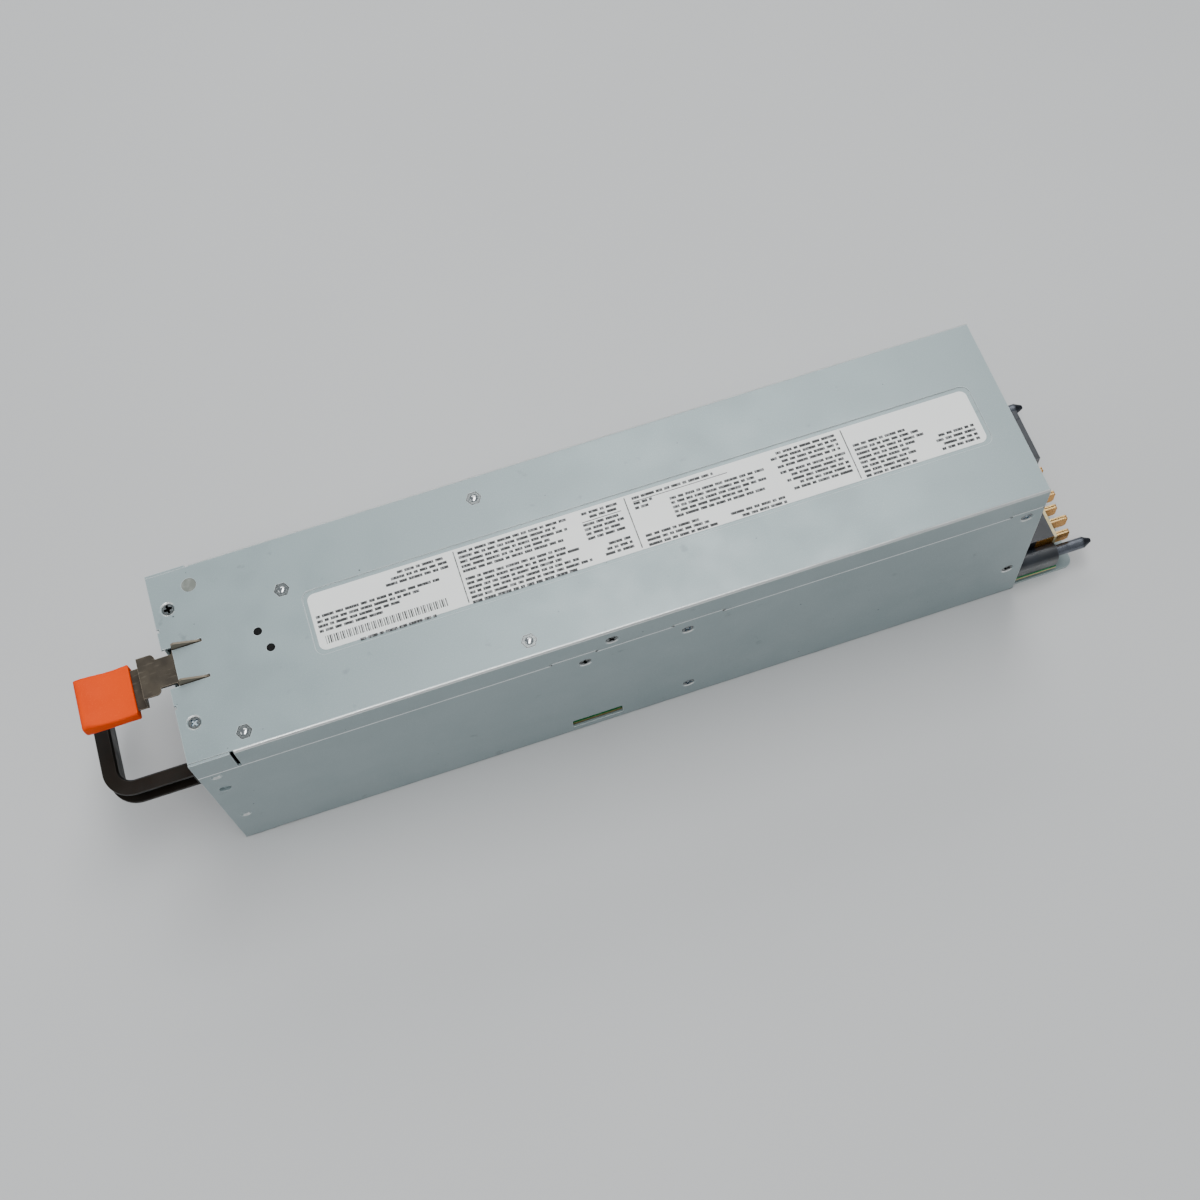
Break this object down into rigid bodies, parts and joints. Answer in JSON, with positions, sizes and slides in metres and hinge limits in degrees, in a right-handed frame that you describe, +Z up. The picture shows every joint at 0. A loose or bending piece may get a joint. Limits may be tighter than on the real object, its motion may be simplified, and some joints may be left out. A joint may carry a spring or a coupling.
{
  "type": "hot swap server power supply",
  "caption": "Slim sheet metal server power supply with a blind-mate blade connector, guide pins, a sprung release latch, pull handle, mains inlet and cooling fan.",
  "frame": {"origin": "centre of the underside of the case, between its front and rear edges", "axes": "+X along the case towards the blind-mate connector, +Y across it, +Z up to the cover"},
  "size_m": [0.4214, 0.0826, 0.0927],
  "materials": {
    "case_steel": "satin pale grey coating",
    "fastener_steel": "zinc plated",
    "label_film": "matt white film",
    "black_plastic": "fine matt texture",
    "spring_steel": "worn satin",
    "black_rivet": "black oxide",
    "orange_plastic": "soft satin",
    "contact_metal": "gold plated",
    "lamp_plastic": "translucent",
    "board_laminate": "solder mask",
    "insulating_film": "translucent film",
    "connector_plastic": "moulded",
    "pin_metal": "satin",
    "sink_aluminium": "extruded",
    "device_plastic": "moulded",
    "winding_copper": "enamelled wire",
    "ferrite": "sintered",
    "capacitor_sleeve": "shrunk sleeve",
    "film_capacitor": "moulded box",
    "fuse_ceramic": "ceramic tube"
  },
  "bodies": {
    "case": {"chassis_tray": "case_steel", "top_cover": "case_steel", "front_panel": "case_steel", "rear_bulkhead": "case_steel", "fan_bracket": "case_steel", "side_screws": "fastener_steel", "cover_screws": "fastener_steel", "cover_inserts": "fastener_steel", "cover_rivet": "fastener_steel", "handle_screws": "fastener_steel", "board_standoffs": "fastener_steel", "board_screws": "fastener_steel", "fan_screws": "fastener_steel", "rating_label": "label_film", "pull_handle": "black_plastic", "ac_inlet": "black_plastic", "fan_frame": "black_plastic", "latch_root": "spring_steel", "latch_rivets": "black_rivet", "inlet_pins": "contact_metal", "power_blades": "contact_metal", "contact_plate": "contact_metal", "signal_contacts": "contact_metal", "bus_bars": "contact_metal", "status_lamps": "lamp_plastic", "main_board": "board_laminate", "control_card": "board_laminate", "insulator_sheet": "insulating_film", "connector_housing": "connector_plastic", "guide_pins": "pin_metal", "primary_heat_sink": "sink_aluminium", "secondary_heat_sink": "sink_aluminium", "primary_transistors": "device_plastic", "output_rectifiers": "device_plastic", "bridge_rectifier": "device_plastic", "inrush_relay": "device_plastic", "filter_choke": "winding_copper", "boost_choke": "winding_copper", "output_choke": "winding_copper", "transformer_winding": "winding_copper", "transformer_core": "ferrite", "standby_transformer": "ferrite", "bulk_capacitors": "capacitor_sleeve", "output_capacitors": "capacitor_sleeve", "line_capacitors": "film_capacitor", "line_fuse": "fuse_ceramic"},
    "latch": {"latch_leaf": "spring_steel", "latch_grip": "orange_plastic"},
    "fan": {"fan_rotor": "black_plastic"}
  },
  "joints": [
    {"name": "latch_press", "type": "hinge", "parent": "case", "child": "latch", "pos_m": [-0.1385, 0, 0.0874], "axis": [0, -1, 0], "range_deg": [0, 9.5], "stiffness_Nm_per_rad": 1.5, "springref_deg": -2.86},
    {"name": "fan_spin", "type": "hinge", "parent": "case", "child": "fan", "pos_m": [-0.12, 0, 0.05], "axis": [1, 0, 0], "continuous": true}
  ]
}
